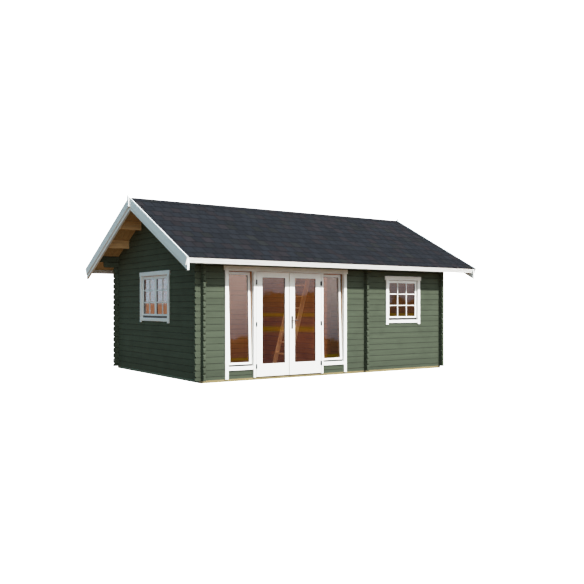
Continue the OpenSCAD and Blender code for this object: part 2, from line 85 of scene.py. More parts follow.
# Gap between a pane and what lies on it
PANE_GAP = 0.0003
# How far the front of a leaning pane lies behind the front of its sash
PANE_SINK = 0.0136
# Depths of the seals on the sashes, and before and behind the door panes; the dark seals line the
# rebates as painted shade
SEAL_DEPTH = 0.0115
DOOR_SEAL_FRONT = 0.0145
DOOR_SEAL_BACK = 0.010
BAR_DEPTH = 0.011


# ---------------------------------------------------------------- settings


def length_setting(name, value, description):
    return FloatProperty(name=name, description=description, default=value, unit="LENGTH")


def colour_setting(name, value, description):
    return FloatVectorProperty(name=name, description=description, default=value,
                               subtype="COLOR", size=3)


class CabinSizes(bpy.types.PropertyGroup):
    """Sizes of the pieces that are added to the frame."""

    edge: length_setting("Eased edge", 0.003, "Rounding of planed timber edges")
    tab_width: length_setting("Shingle width", 0.188, "Width of one shingle tab")
    tab_exposure: length_setting("Shingle exposure", 0.241,
                                 "Height of a shingle course along the slope")
    tab_thickness: length_setting("Shingle thickness", 0.003, "Thickness of one shingle tab")
    tab_slot: length_setting("Shingle slot", 0.011, "Gap between two tabs of a course")
    # The lip is a painted shadow: a dark strip for the shade under the butt of each course.
    tab_shadow_lip: length_setting("Shingle lip", 0.014, "Dark lower edge of each tab")
    first_course: length_setting("First course", 0.192, "Height of the course at the eave")
    board_width: length_setting("Board width", 0.096, "Cover width of roof and floor boards")
    bar_width: length_setting("Glazing bar", 0.022, "Width of a glazing bar")
    # The dark seal is partly a real glazing seal and partly painted shade in the rebate around the
    # pane.
    seal_width: length_setting("Glazing seal", 0.002, "Width of the dark seal around a pane")
    log_height: length_setting("Log height", 0.114, "Height of one course of logs")
    seed: IntProperty(name="Seed", description="Seed of the shingle tones", default=11)


class CabinColours(bpy.types.PropertyGroup):
    """Colours of the finishes, as linear values."""

    stain: colour_setting("Wall stain", (0.0645, 0.0785, 0.0545), "Green stain of the log walls")
    white: colour_setting("White paint", (0.80, 0.80, 0.79),
                          "Paint of trims, doors, windows and verges")
    pine: colour_setting("Pine", (0.42, 0.20, 0.085), "Bare pine of the walls inside and the floor")
    purlin: colour_setting("Purlins", (0.80, 0.50, 0.22), "Planed pine of the purlins")
    soffit: colour_setting("Roof boards", (0.54, 0.35, 0.145), "Pine of the roof boards")
    pale_beam: colour_setting("Pale beam", (0.23, 0.19, 0.098),
                              "Timber of the long foundation beams")
    dark_beam: colour_setting("Dark beam", (0.032, 0.088, 0.060),
                              "Timber of the foundation beams under the gables")
    slate: colour_setting("Shingle", (0.0100, 0.0115, 0.0148), "Main colour of the shingles")
    slate_warm: colour_setting("Warm shingle", (0.0135, 0.0122, 0.0145),
                               "Colour of the odd warm shingle")
    slate_green: colour_setting("Mossy shingle", (0.0118, 0.0128, 0.0135),
                                "Colour of the odd greenish shingle")


class CabinStudio(bpy.types.PropertyGroup):
    """Light, floor and camera."""

    sun_strength: FloatProperty(
        name="Sun", description="Strength of the main light", default=7.7)
    sun_way: FloatVectorProperty(
        name="Sun direction", description="Way from the cabin towards the main light",
        subtype="DIRECTION", size=3, default=(0.03, -1.0, 0.80))
    white_point: FloatProperty(
        name="White point", description="Brightness that is shown as pure white", default=3.0)
    sun_softness: FloatProperty(
        name="Sun size", description="Angle over which the main light is spread",
        default=math.radians(1.5), subtype="ANGLE")
    lamp_power: FloatProperty(
        name="Lamp", description="Power of the light in the main room", default=36.0)
    floor_size: length_setting("Floor", 240.0, "Side of the floor")
    camera_place: FloatVectorProperty(
        name="Camera", description="Place of the camera",
        subtype="TRANSLATION", size=3, default=(-8.706, -13.258, 1.3363))
    camera_turn: FloatProperty(
        name="Camera turn", description="Turn of the level camera to the right of the Y axis",
        default=math.radians(34.2876), subtype="ANGLE")
    camera_lens: FloatProperty(
        name="Lens", description="Focal length in millimetres", default=45.28)
    camera_rise: FloatProperty(
        name="Rise", description="Upward shift of the lens", default=0.0237)


def sizes():
    return bpy.context.scene.cabin_sizes


def colours():
    return bpy.context.scene.cabin_colours


def studio():
    return bpy.context.scene.cabin_studio


# ---------------------------------------------------------------- node helpers


def add(tree, kind, inputs=None, **settings):
    """A new node with its settings, and its inputs set to values or linked to sockets."""
    made = tree.nodes.new(kind)
    for key, value in settings.items():
        setattr(made, key, value)
    for key, value in (inputs or {}).items():
        if isinstance(value, bpy.types.NodeSocket):
            tree.links.new(value, made.inputs[key])
        else:
            made.inputs[key].default_value = value
    return made


def calc(tree, operation, a, b=0.0, c=0.0):
    return add(tree, "ShaderNodeMath", {0: a, 1: b, 2: c}, operation=operation).outputs[0]


def blend(tree, share, a, b, mode="MIX"):
    made = add(tree, "ShaderNodeMix", {0: share, 6: a, 7: b}, data_type="RGBA", blend_type=mode)
    return made.outputs[2]


def span(tree, value, low, high, to_low=0.0, to_high=1.0, smooth=False):
    """Maps the range from low to high onto to_low to to_high, and clamps."""
    kind = "SMOOTHSTEP" if smooth else "LINEAR"
    inputs = {0: value, 1: low, 2: high, 3: to_low, 4: to_high}
    return add(tree, "ShaderNodeMapRange", inputs, interpolation_type=kind).outputs[0]


def colour(value, shade=1.0):
    return (value[0] * shade, value[1] * shade, value[2] * shade, 1.0)


def group(name, inputs, outputs, build):
    """A shader node group, made once. build gets the tree, its inputs and its outputs."""
    tree = bpy.data.node_groups.get(name)
    if tree:
        return tree
    tree = bpy.data.node_groups.new(name, "ShaderNodeTree")
    for label, kind, default in inputs:
        socket = tree.interface.new_socket(label, in_out="INPUT", socket_type=kind)
        if default is not None:
            socket.default_value = default
    for label, kind in outputs:
        tree.interface.new_socket(label, in_out="OUTPUT", socket_type=kind)
    into = tree.nodes.new("NodeGroupInput").outputs
    out = tree.nodes.new("NodeGroupOutput").inputs
    for label, socket in build(tree, into).items():
        tree.links.new(socket, out[label])
    return tree


def use(tree, made_group, **inputs):
    return add(tree, "ShaderNodeGroup", inputs, node_tree=made_group).outputs


FLOAT, VECTOR = "NodeSocketFloat", "NodeSocketVector"


def wood_grain():
    """Streaks along the X axis of Place: Grain is fine, Figure is broad."""

    def build(tree, into):
        drawn = add(tree, "ShaderNodeVectorMath", {0: into["Place"], 1: (0.05, 1.0, 1.0)},
                    operation="MULTIPLY").outputs[0]
        fine = add(tree, "ShaderNodeTexNoise",
                   {"Vector": drawn, "Scale": into["Scale"], "Detail": 4.0, "Roughness": 0.6})
        broad = calc(tree, "MULTIPLY", into["Scale"], 0.16)
        figure = add(tree, "ShaderNodeTexNoise",
                     {"Vector": drawn, "Scale": broad, "Detail": 2.0, "Distortion": 0.7})
        return {"Grain": fine.outputs[0], "Figure": figure.outputs[0]}

    return group("wood_grain", [("Place", VECTOR, None), ("Scale", FLOAT, 90.0)],
                 [("Grain", FLOAT), ("Figure", FLOAT)], build)


def log_courses():
    """Tone is a random value for each log, Seam is 1 in the joint between two logs."""

    def build(tree, into):
        height = calc(tree, "SUBTRACT", into["Height"], into["First"])
        row = calc(tree, "DIVIDE", height, into["Log"])
        wall = calc(tree, "ADD", calc(tree, "FLOOR", row), into["Wall"])
        tone = add(tree, "ShaderNodeTexWhiteNoise", {"W": wall}, noise_dimensions="1D")
        part = calc(tree, "FRACT", row)
        near = calc(tree, "MINIMUM", part, calc(tree, "SUBTRACT", 1.0, part))
        gap = calc(tree, "MULTIPLY", near, into["Log"])
        return {"Tone": tone.outputs[0], "Seam": span(tree, gap, 0.003, 0.008, 1.0, 0.0, True)}

    return group("log_courses",
                 [("Height", FLOAT, None), ("First", FLOAT, 0.0), ("Log", FLOAT, 0.114),
                  ("Wall", FLOAT, 0.0)],
                 [("Tone", FLOAT), ("Seam", FLOAT)], build)


def indoors():
    """Mask is 1 inside the box of half sizes Half X and Half Y around the origin."""

    def build(tree, into):
        place = add(tree, "ShaderNodeSeparateXYZ", {0: into["Place"]}).outputs
        in_x = calc(tree, "LESS_THAN", calc(tree, "ABSOLUTE", place[0]), into["Half X"])
        in_y = calc(tree, "LESS_THAN", calc(tree, "ABSOLUTE", place[1]), into["Half Y"])
        return {"Mask": calc(tree, "MULTIPLY", in_x, in_y)}

    return group("indoors", [("Place", VECTOR, None), ("Half X", FLOAT, 1.0),
                             ("Half Y", FLOAT, 1.0)], [("Mask", FLOAT)], build)


def soiling():
    """Amount rises towards the ground and in faint blotches."""

    def build(tree, into):
        height = add(tree, "ShaderNodeSeparateXYZ", {0: into["Place"]}).outputs[2]
        low = span(tree, height, 0.05, 0.5, 1.0, 0.0, True)
        blotch = add(tree, "ShaderNodeTexNoise",
                     {"Vector": into["Place"], "Scale": 3.0, "Detail": 5.0}).outputs[0]
        patch = span(tree, blotch, 0.45, 0.75, 0.0, 0.5, True)
        both = calc(tree, "ADD", calc(tree, "MULTIPLY", low, 0.5), patch)
        return {"Amount": calc(tree, "MULTIPLY", both, into["Strength"])}

    return group("soiling", [("Place", VECTOR, None), ("Strength", FLOAT, 0.2)],
                 [("Amount", FLOAT)], build)


def place_along(tree, axis):
    """Object coordinates, and the same turned so that the grain axis comes first."""
    place = add(tree, "ShaderNodeTexCoord").outputs["Object"]
    parts = add(tree, "ShaderNodeSeparateXYZ", {0: place}).outputs
    first = "XYZ".index(axis)
    order = [first] + [i for i in range(3) if i != first]
    turned = add(tree, "ShaderNodeCombineXYZ", {i: parts[order[i]] for i in range(3)})
    return place, parts, turned.outputs[0]


def finish(name, roughness, specular=0.35, metallic=0.0):
    """A new material, its node tree and its shader."""
    material = bpy.data.materials.new(name)
    material.use_nodes = True
    tree = material.node_tree
    shader = tree.nodes["Principled BSDF"]
    shader.inputs["Roughness"].default_value = roughness
    shader.inputs["Specular IOR Level"].default_value = specular
    shader.inputs["Metallic"].default_value = metallic
    return material, tree, shader


def relief(tree, shader, height, depth):
    """A bump of a given depth from a height between 0 and 1."""
    bump = add(tree, "ShaderNodeBump", {"Height": height, "Strength": 0.6, "Distance": depth})
    tree.links.new(bump.outputs[0], shader.inputs["Normal"])


# ---------------------------------------------------------------- finishes

FINISHES = {}


def kept(build):
    """Builds each finish once and returns it by name after that."""

    @functools.wraps(build)
    def get(name, *args):
        if name not in FINISHES:
            FINISHES[name] = build(name, *args)
        return FINISHES[name]

    return get


@kept
def stained_logs(name, axis, first_seam):
    """Green stain outside and bare pine inside, in logs whose seams start at first_seam; the seams
    are darkened as painted shade.
    """
    material, tree, shader = finish(name, 0.75, 0.03)
    place, parts, turned = place_along(tree, axis)
    grain = use(tree, wood_grain(), Place=turned, Scale=110.0)
    side = calc(tree, "ROUND", parts[1 - "XY".index(axis)])
    logs = use(tree, log_courses(), Height=parts[2], First=first_seam, Log=sizes().log_height,
               Wall=calc(tree, "MULTIPLY", side, 31.0))
    figure = span(tree, grain["Figure"], 0.3, 0.7, 0.90, 1.08)
    tone = calc(tree, "MULTIPLY", figure, span(tree, logs["Tone"], 0.0, 1.0, 0.95, 1.05))
    fine = span(tree, grain["Grain"], 0.35, 0.65, 0.94, 1.05)
    tone = calc(tree, "MULTIPLY", tone, fine)
    # Darker in the seams between logs: painted shade in the V grooves.
    tone = calc(tree, "MULTIPLY", tone, span(tree, logs["Seam"], 0.0, 1.0, 1.0, 0.5))
    dirt = use(tree, soiling(), Place=place, Strength=0.25)["Amount"]
    shade = calc(tree, "MULTIPLY", tone, calc(tree, "SUBTRACT", 1.0, dirt))
    grey = add(tree, "ShaderNodeCombineColor", {0: shade, 1: shade, 2: shade}).outputs[0]
    wall = NODES["rear_wall"]
    inner = max(v.co.y for v in wall.data.vertices) - LOG_HALF
    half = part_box("long_beams")[1].x - LOG_HALF
    inside = use(tree, indoors(), Place=place, **{"Half X": half, "Half Y": inner})["Mask"]
    base = blend(tree, inside, colour(colours().stain), colour(colours().pine))
    tree.links.new(blend(tree, 1.0, base, grey, "MULTIPLY"), shader.inputs["Base Color"])
    relief(tree, shader, grain["Grain"], 0.0006)
    return material


@kept
def white_paint(name, axis):
    """Opaque white paint over planed timber, with faint grain and a little dirt."""
    material, tree, shader = finish(name, 0.42, 0.35)
    place, _, turned = place_along(tree, axis)
    grain = use(tree, wood_grain(), Place=turned, Scale=70.0)
    dirt = use(tree, soiling(), Place=place, Strength=0.10)["Amount"]
    soft = span(tree, grain["Figure"], 0.3, 0.7, 0.0, 0.05)
    amount = calc(tree, "ADD", dirt, soft)
    base = blend(tree, amount, colour(colours().white), (0.50, 0.47, 0.42, 1.0))
    tree.links.new(base, shader.inputs["Base Color"])
    tree.links.new(span(tree, grain["Grain"], 0.3, 0.7, 0.36, 0.5), shader.inputs["Roughness"])
    relief(tree, shader, grain["Grain"], 0.0003)
    return material


@kept
def rebated_paint(name, axis):
    """White paint whose deep inner part, behind the sashes, is bare pine."""
    material = white_paint.__wrapped__(name, axis)
    tree = material.node_tree
    shader = tree.nodes["Principled BSDF"]
    place = add(tree, "ShaderNodeTexCoord").outputs["Object"]
    half = Vector(CAD_BOX[1]) * 2
    rebate = -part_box("side_window_sashes")[0].y - 0.008
    inner = use(tree, indoors(), Place=place, **{"Half X": half.x, "Half Y": rebate})["Mask"]
    paint = shader.inputs["Base Color"].links[0].from_socket
    mixed = blend(tree, inner, paint, colour(colours().pine))
    tree.links.new(mixed, shader.inputs["Base Color"])
    return material


@kept
def bare_timber(name, axis, tint, scale):
    """Planed timber with grain along an axis, darker in its late wood."""
    material, tree, shader = finish(name, 0.62, 0.25)
    place, _, turned = place_along(tree, axis)
    grain = use(tree, wood_grain(), Place=turned, Scale=scale)
    late = span(tree, grain["Grain"], 0.42, 0.68, 0.0, 0.45, True)
    figure = span(tree, grain["Figure"], 0.35, 0.7, 0.0, 0.35, True)
    base = blend(tree, figure, colour(tint), colour(tint, 0.72))
    base = blend(tree, late, base, colour((tint[0], tint[1] * 0.85, tint[2] * 0.7), 0.55))
    dirt = use(tree, soiling(), Place=place, Strength=0.15)["Amount"]
    base = blend(tree, dirt, base, (0.10, 0.08, 0.06, 1.0))
    tree.links.new(base, shader.inputs["Base Color"])
    relief(tree, shader, grain["Grain"], 0.0005)
    return material


@kept
def bitumen(name):
    """Mineral granules on bitumen; the tone of each tab comes from the mesh, and negative tones
    darken the tab lips and the base sheet as painted shade.
    """
    material, tree, shader = finish(name, 0.9, 0.06)
    place = add(tree, "ShaderNodeTexCoord").outputs["Object"]
    tone = add(tree, "ShaderNodeAttribute", attribute_name="tone").outputs["Fac"]
    cloud = add(tree, "ShaderNodeTexNoise", {"Vector": place, "Scale": 6.0, "Detail": 5.0})
    grit = add(tree, "ShaderNodeTexNoise", {"Vector": place, "Scale": 420.0, "Detail": 2.0})
    hue = calc(tree, "FRACT", calc(tree, "MULTIPLY", tone, 7.3))
    base = blend(tree, span(tree, hue, 0.62, 0.80), colour(colours().slate),
                 colour(colours().slate_warm))
    base = blend(tree, span(tree, hue, 0.12, 0.04), base, colour(colours().slate_green))
    # Negative tones are painted shade: the lip of each tab and the base sheet in the slots.
    tabs = calc(tree, "MULTIPLY", span(tree, tone, 0.0, 1.0, 0.84, 1.22),
                span(tree, tone, -0.1, 0.0, 0.35, 1.0))
    shade = calc(tree, "MULTIPLY", tabs, span(tree, cloud.outputs[0], 0.3, 0.7, 0.9, 1.1))
    shade = calc(tree, "MULTIPLY", shade, span(tree, grit.outputs[0], 0.3, 0.7, 0.8, 1.2))
    grey = add(tree, "ShaderNodeCombineColor", {0: shade, 1: shade, 2: shade}).outputs[0]
    tree.links.new(blend(tree, 1.0, base, grey, "MULTIPLY"), shader.inputs["Base Color"])
    relief(tree, shader, grit.outputs[0], 0.001)
    return material


@kept
def window_glass(name):
    """Clear glass; one pane stands for a double unit, so it mirrors as much as two."""
    material, tree, shader = finish(name, 0.0, 0.5)
    shader.inputs["Transmission Weight"].default_value = 1.0
    shader.inputs["IOR"].default_value = 1.9
    shader.inputs["Base Color"].default_value = (0.93, 0.90, 0.87, 1.0)
    place = add(tree, "ShaderNodeTexCoord").outputs["Object"]
    film = add(tree, "ShaderNodeTexNoise", {"Vector": place, "Scale": 2.5, "Detail": 3.0})
    tree.links.new(span(tree, film.outputs[0], 0.4, 0.7, 0.0, 0.02), shader.inputs["Roughness"])
    return material


@kept
def dull_part(name, tint, roughness, metallic):
    """Rubber or metal with a slightly uneven surface."""
    material, tree, shader = finish(name, roughness, 0.5, metallic)
    place = add(tree, "ShaderNodeTexCoord").outputs["Object"]
    worn = add(tree, "ShaderNodeTexNoise", {"Vector": place, "Scale": 60.0, "Detail": 4.0})
    base = blend(tree, span(tree, worn.outputs[0], 0.35, 0.7), colour(tint), colour(tint, 0.7))
    tree.links.new(base, shader.inputs["Base Color"])
    rough = span(tree, worn.outputs[0], 0.3, 0.7, roughness - 0.08, roughness + 0.08)
    tree.links.new(rough, shader.inputs["Roughness"])
    relief(tree, shader, worn.outputs[0], 0.0002)
    return material


def white(axis):
    return white_paint("white_paint_" + axis.lower(), axis)


def pine(axis):
    return bare_timber("pine_" + axis.lower(), axis, colours().pine, 85.0)


# Black rubber; on the strips under the sashes its darkness is also painted shade of the gap below
# each sash.
def seal():
    return dull_part("seal_rubber", (0.012, 0.011, 0.011), 0.6, 0.0)


# A real glazing seal whose dark colour also stands for painted shade on the rebate sides.
def gasket_and_rebate_shade():
    return dull_part("glazing_gasket", (0.050, 0.016, 0.011), 0.6, 0.0)


def zinc():
    return dull_part("dark_zinc", (0.045, 0.05, 0.06), 0.5, 0.5)


def satin():
    return dull_part("satin_metal", (0.30, 0.28, 0.27), 0.38, 0.9)


# ---------------------------------------------------------------- mesh helpers


def paint_node(node, material):
    """Gives a CAD node its material."""
    data = NODES[node].data
    data.materials.clear()
    data.materials.append(material)


def placed(name, data):
    """A new object in the scene."""
    made = bpy.data.objects.new(name, data)
    bpy.context.scene.collection.objects.link(made)
    return made


def solid(name, bm, material):
    """Turns a bmesh into an object with a material."""
    mesh = bpy.data.meshes.new(name)
    bm.to_mesh(mesh)
    bm.free()
    mesh.materials.append(material)
    return placed(name, mesh)


def piece(name, bm, material, body, slot, *replaced):
    """Turns a bmesh into a piece that rides on a body and may stand for CAD nodes."""
    bmesh.ops.recalc_face_normals(bm, faces=bm.faces)
    made = solid(name, bm, material)
    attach(made, body)
    if replaced:
        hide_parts(*replaced)
    return made


def merged(node):
    """The shape of a CAD node as a closed bmesh with whole flat faces."""
    bm = bmesh.new()
    bm.from_mesh(NODES[node].data)
    bmesh.ops.remove_doubles(bm, verts=bm.verts, dist=MERGE)
    bmesh.ops.dissolve_limit(bm, angle_limit=FLAT, verts=bm.verts, edges=bm.edges)
    return bm


def islands(node):
    """The boxes of a node's separate solids, from left to right."""
    bm = merged(node)
    left = set(bm.verts)
    found = []
    while left:
        part, queue = [], [left.pop()]
        while queue:
            v = queue.pop()
            part.append(v.co.copy())
            for e in v.link_edges:
                other = e.other_vert(v)
                if other in left:
                    left.discard(other)
                    queue.append(other)
        low = Vector([min(c[i] for c in part) for i in range(3)])
        high = Vector([max(c[i] for c in part) for i in range(3)])
        found.append((low, high))
    bm.free()
    return sorted(found, key=lambda b: (round(b[0].x, 3), round(b[0].y, 3), b[0].z))


def thin_axis(low, high):
    """0 if a pane is thin along X and 1 if it is thin along Y."""
    return 1 if high.y - low.y < high.x - low.x else 0


def ease(bm, width, segments=2, edges=None):
    """Rounds the sharp edges."""
    sharp = [e for e in (edges or bm.edges) if e.is_manifold and e.calc_face_angle(0) > SHARP]
    bmesh.ops.bevel(bm, geom=sharp, offset=width, offset_type="OFFSET", affect="EDGES",
                    segments=segments, profile=0.5, material=-1, clamp_overlap=True)


def eased_node(node, material, body=CABIN, width=None, slot="white_paint"):
    """A copy of a CAD node with rounded edges, which stands for it."""
    bm = merged(node)
    ease(bm, width or sizes().edge)
    return piece(node + "_eased", bm, material, body, slot, node)


def block(bm, low, high, turn=None):
    """Adds a block between two corners, turned about its middle if turn is given."""
    low, high = Vector(low), Vector(high)
    size = high - low
    matrix = Matrix.Translation((low + high) / 2) @ (turn or Matrix()) @ Matrix.Diagonal(
        (*size, 1.0))
    return bmesh.ops.create_cube(bm, size=1.0, matrix=matrix)["verts"]


def bar(bm, start, end, thickness):
    """Adds a round bar with closed ends from start to end."""
    start, end = Vector(start), Vector(end)
    turn = (end - start).to_track_quat("Z", "Y").to_matrix().to_4x4()
    matrix = Matrix.Translation((start + end) / 2) @ turn
    return bmesh.ops.create_cone(bm, cap_ends=True, segments=20, radius1=thickness / 2,
                                 radius2=thickness / 2, depth=(end - start).length,
                                 matrix=matrix)["verts"]


def groove(bm, point, normal, half, shift):
    """Cuts a V along a plane; shift gives how far a point on it moves, or None."""
    for offset in (-half, half, 0.0):
        geometry = bm.verts[:] + bm.edges[:] + bm.faces[:]
        bmesh.ops.bisect_plane(bm, geom=geometry, dist=MERGE, plane_co=point + normal * offset,
                               plane_no=normal)
    for v in bm.verts:
        if abs((v.co - point).dot(normal)) < MERGE * 4:
            move = shift(v.co)
            if move is not None:
                v.co += move


def ring(bm, corners, width, depth):
    """Adds a flat frame inside four corners, extruded by the vector depth."""
    face = bm.faces.new([bm.verts.new(c) for c in corners])
    face.normal_update()
    rim = bmesh.ops.inset_region(bm, faces=[face], thickness=width, use_boundary=True,
                                 use_even_offset=True)
    bmesh.ops.delete(bm, geom=[face], context="FACES_ONLY")
    grown = bmesh.ops.extrude_face_region(bm, geom=rim["faces"])
    verts = [g for g in grown["geom"] if isinstance(g, bmesh.types.BMVert)]
    bmesh.ops.translate(bm, verts=verts, vec=depth)


# ---------------------------------------------------------------- roof geometry

# Top and half sizes of the roof, and the thicknesses of its layers
ROOF_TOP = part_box("shingles")[1].z
ROOF_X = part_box("roof_boards")[1].x
SHINGLE_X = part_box("shingles")[1].x
EAVE_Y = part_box("shingles")[1].y
SHINGLE_T = 0.008
BOARD_T = 0.019


def down(side):
    """Unit vector down the slope; side is -1 at the front and 1 at the rear."""
    return Vector((0.0, side * math.cos(PITCH), -math.sin(PITCH)))


def out(side):
    """Unit vector square to the slope, upwards."""
    return Vector((0.0, side * math.sin(PITCH), math.cos(PITCH)))


def on_roof(side, u, n, x=0.0):
    """Point at distance u down the slope and n above the shingle surface."""
    return Vector((x, 0.0, ROOF_TOP)) + down(side) * u + out(side) * n


def above_roof(co):
    """How far a point lies above the shingle surface of its own slope."""
    side = -1 if co.y < 0 else 1
    return (co - Vector((0.0, 0.0, ROOF_TOP))).dot(out(side))


def roof_turn(side, extra=0.0):
    """Turn that lays the Y axis along a slope, with an extra tilt of its lower edge."""
    return Matrix.Rotation(-side * (PITCH - extra), 4, "X")


# ---------------------------------------------------------------- operators


class CABIN_OT_log_walls(bpy.types.Operator):
    """Stains the log walls green outside and leaves them bare inside"""

    bl_idname = "cabin.log_walls"
    bl_label = "Log walls"

    def execute(self, context):
        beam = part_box("long_beams")[1].z
        log = sizes().log_height
        long_walls = stained_logs("stained_logs_long", "X", beam + log / 2)
        for node in ("front_wall_left", "front_wall_over_door", "front_wall_right",
                     "front_panel_logs", "rear_wall"):
            paint_node(node, long_walls)
        cross_walls = stained_logs("stained_logs_cross", "Y", beam)
        for node in ("left_gable_wall", "right_gable_wall", "partition_sides",
                     "partition_over_door"):
            paint_node(node, cross_walls)
        return {"FINISHED"}


class CABIN_OT_base(bpy.types.Operator):
    """Finishes the foundation beams and lays the floor boards"""

    bl_idname = "cabin.base"
    bl_label = "Beams and floor"

    def execute(self, context):
        pale = bare_timber("pale_timber", "X", colours().pale_beam, 60.0)
        eased_node("long_beams", pale, slot="pale_beam")
        eased_node("door_sill", pale, width=0.0015, slot="pale_beam")
        dark = bare_timber("green_timber", "Y", colours().dark_beam, 60.0)
        eased_node("cross_beams", dark, slot="dark_beam")
        self.lay_floor()
        return {"FINISHED"}

    def lay_floor(self):
        low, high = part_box("floor_boards")
        bm = merged("floor_boards")

        def shift(co):
            return -Z * 0.003 if co.z > high.z - MERGE else None

        count = round((high.y - low.y) / sizes().board_width)
        for k in range(1, count):
            y = low.y + (high.y - low.y) * k / count
            groove(bm, Vector((0, y, 0)), Y, 0.002, shift)
        piece("floor_planks", bm, pine("X"), CABIN, "pine", "floor_boards")


class CABIN_OT_ladder(bpy.types.Operator):
    """Rounds and finishes the ladder"""

    bl_idname = "cabin.ladder"
    bl_label = "Ladder"

    def execute(self, context):
        light = bare_timber("ladder_pine", "Z", (0.85, 0.62, 0.36), 85.0)
        eased_node("loft_ladder", light, slot="pine", width=0.004)
        return {"FINISHED"}


class CABIN_OT_roof_timbers(bpy.types.Operator):
    """Makes the roof boards and purlins"""

    bl_idname = "cabin.roof_timbers"
    bl_label = "Roof boards and purlins"

    def execute(self, context):
        planed = bare_timber("purlin_pine", "X", colours().purlin, 70.0)
        eased_node("purlins", planed, slot="pine")
        bm = merged("roof_boards")

        def shift(co):
            under = above_roof(co) < -SHINGLE_T - BOARD_T + 0.002
            return out(-1 if co.y < 0 else 1) * 0.004 if under else None

        count = round(2 * ROOF_X / sizes().board_width)
        for k in range(1, count):
            x = -ROOF_X + 2 * ROOF_X * k / count
            groove(bm, Vector((x, 0, 0)), X, 0.003, shift)
        boards = bare_timber("board_pine", "Y", colours().soffit, 85.0)
        piece("roof_planks", bm, boards, CABIN, "pine", "roof_boards")
        return {"FINISHED"}


class CABIN_OT_shingles(bpy.types.Operator):
    """Lays the shingle courses and the ridge caps"""

    bl_idname = "cabin.shingles"
    bl_label = "Shingles"

    def execute(self, context):
        draw = random.Random(sizes().seed)
        for side, name in ((-1, "front_courses"), (1, "rear_courses")):
            bm = bmesh.new()
            self.lay_slope(bm, side, draw)
            replaced = ("shingles",) if side < 0 else ()
            piece(name, bm, bitumen("bitumen"), CABIN, "shingle", *replaced)
        bm = bmesh.new()
        self.lay_ridge(bm, draw)
        piece("ridge_caps", bm, bitumen("bitumen"), CABIN, "shingle", "ridge_cap")
        return {"FINISHED"}

    def set_tone(self, bm, verts, value):
        """Stores the tone of all faces around some vertices, which the material reads."""
        tone = bm.faces.layers.float.get("tone") or bm.faces.layers.float.new("tone")
        for face in {f for v in verts for f in v.link_faces}:
            face[tone] = value

    def lay_slope(self, bm, side, draw):
        """A base sheet, darkened as painted shade in the slots, and the courses of tabs over it,
        from the eave to the ridge.
        """
        bm.faces.layers.float.new("tone")
        thick = sizes().tab_thickness
        course = sizes().tab_exposure
        eave = EAVE_Y / math.cos(PITCH) - 0.001
        sheet_top = -2.2 * thick
        middle = on_roof(side, eave / 2, (sheet_top - SHINGLE_T) / 2)
        half = Vector((SHINGLE_X, eave / 2 - 0.004, (sheet_top + SHINGLE_T) / 2))
        verts = block(bm, middle - half, middle + half, roof_turn(side))
        # The base sheet's tone of -1 paints shade where it shows through the slots between tabs.
        self.set_tone(bm, verts, -1.0)
        tilt = math.atan(thick / course)
        low_u, i = eave, 0
        while low_u > 0.03:
            reach = sizes().first_course if i == 0 else course
            high_u = max(low_u - reach - 0.012, 0.004)
            start = -SHINGLE_X - (i % 2) * sizes().tab_width / 2
            while start < SHINGLE_X - 0.01:
                x0 = max(start, -SHINGLE_X)
                x1 = min(start + sizes().tab_width - sizes().tab_slot, SHINGLE_X)
                start += sizes().tab_width
                if x1 - x0 > 0.01:
                    self.lay_tab(bm, side, (x0, x1), (high_u, low_u), tilt, draw.random())
            low_u, i = low_u - reach, i + 1

    def lay_tab(self, bm, side, wide, along, tilt, tone):
        """One tab whose lower edge is a dark lip of painted shadow."""
        thick = sizes().tab_thickness
        lip = along[1] - sizes().tab_shadow_lip
        # The lip gets a negative tone, which the material darkens as painted shadow.
        for u0, u1, value in ((along[0], lip, tone), (lip, along[1], -0.07)):
            sink = (along[1] - (u0 + u1) / 2) * math.tan(tilt)
            centre = on_roof(side, (u0 + u1) / 2, -thick / 2 - sink)
            middle = Vector(((wide[0] + wide[1]) / 2, centre.y, centre.z))
            half = Vector(((wide[1] - wide[0]) / 2, (u1 - u0) / 2, thick / 2))
            verts = block(bm, middle - half, middle + half, roof_turn(side, tilt))
            self.set_tone(bm, verts, value)

    def lay_ridge(self, bm, draw):
        """Caps folded over the ridge, each with its far end lifted onto the next."""
        bm.faces.layers.float.new("tone")
        low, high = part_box("ridge_cap")
        count = round((high.x - low.x) / 0.25)
        step = (high.x - low.x) / count
        width = high.y / math.cos(PITCH)
        thick, lift = 0.0025, 0.0008
        for k in range(count):
            x0 = low.x + step * k
            x1 = min(x0 + step + 0.02, high.x)
            points = [on_roof(-1, width, 0), on_roof(-1, width, thick)]
            points += [Vector((0, 0, ROOF_TOP + thick)), on_roof(1, width, thick)]
            points += [on_roof(1, width, 0), Vector((0, 0, ROOF_TOP))]
            verts = [bm.verts.new(p + X * x0) for p in points]
            face = bm.faces.new(verts)
            grown = bmesh.ops.extrude_face_region(bm, geom=[face])
            far = [g for g in grown["geom"] if isinstance(g, bmesh.types.BMVert)]
            bmesh.ops.translate(bm, verts=far, vec=X * (x1 - x0) + Z * lift)
            self.set_tone(bm, verts + far, draw.random() * 0.7)


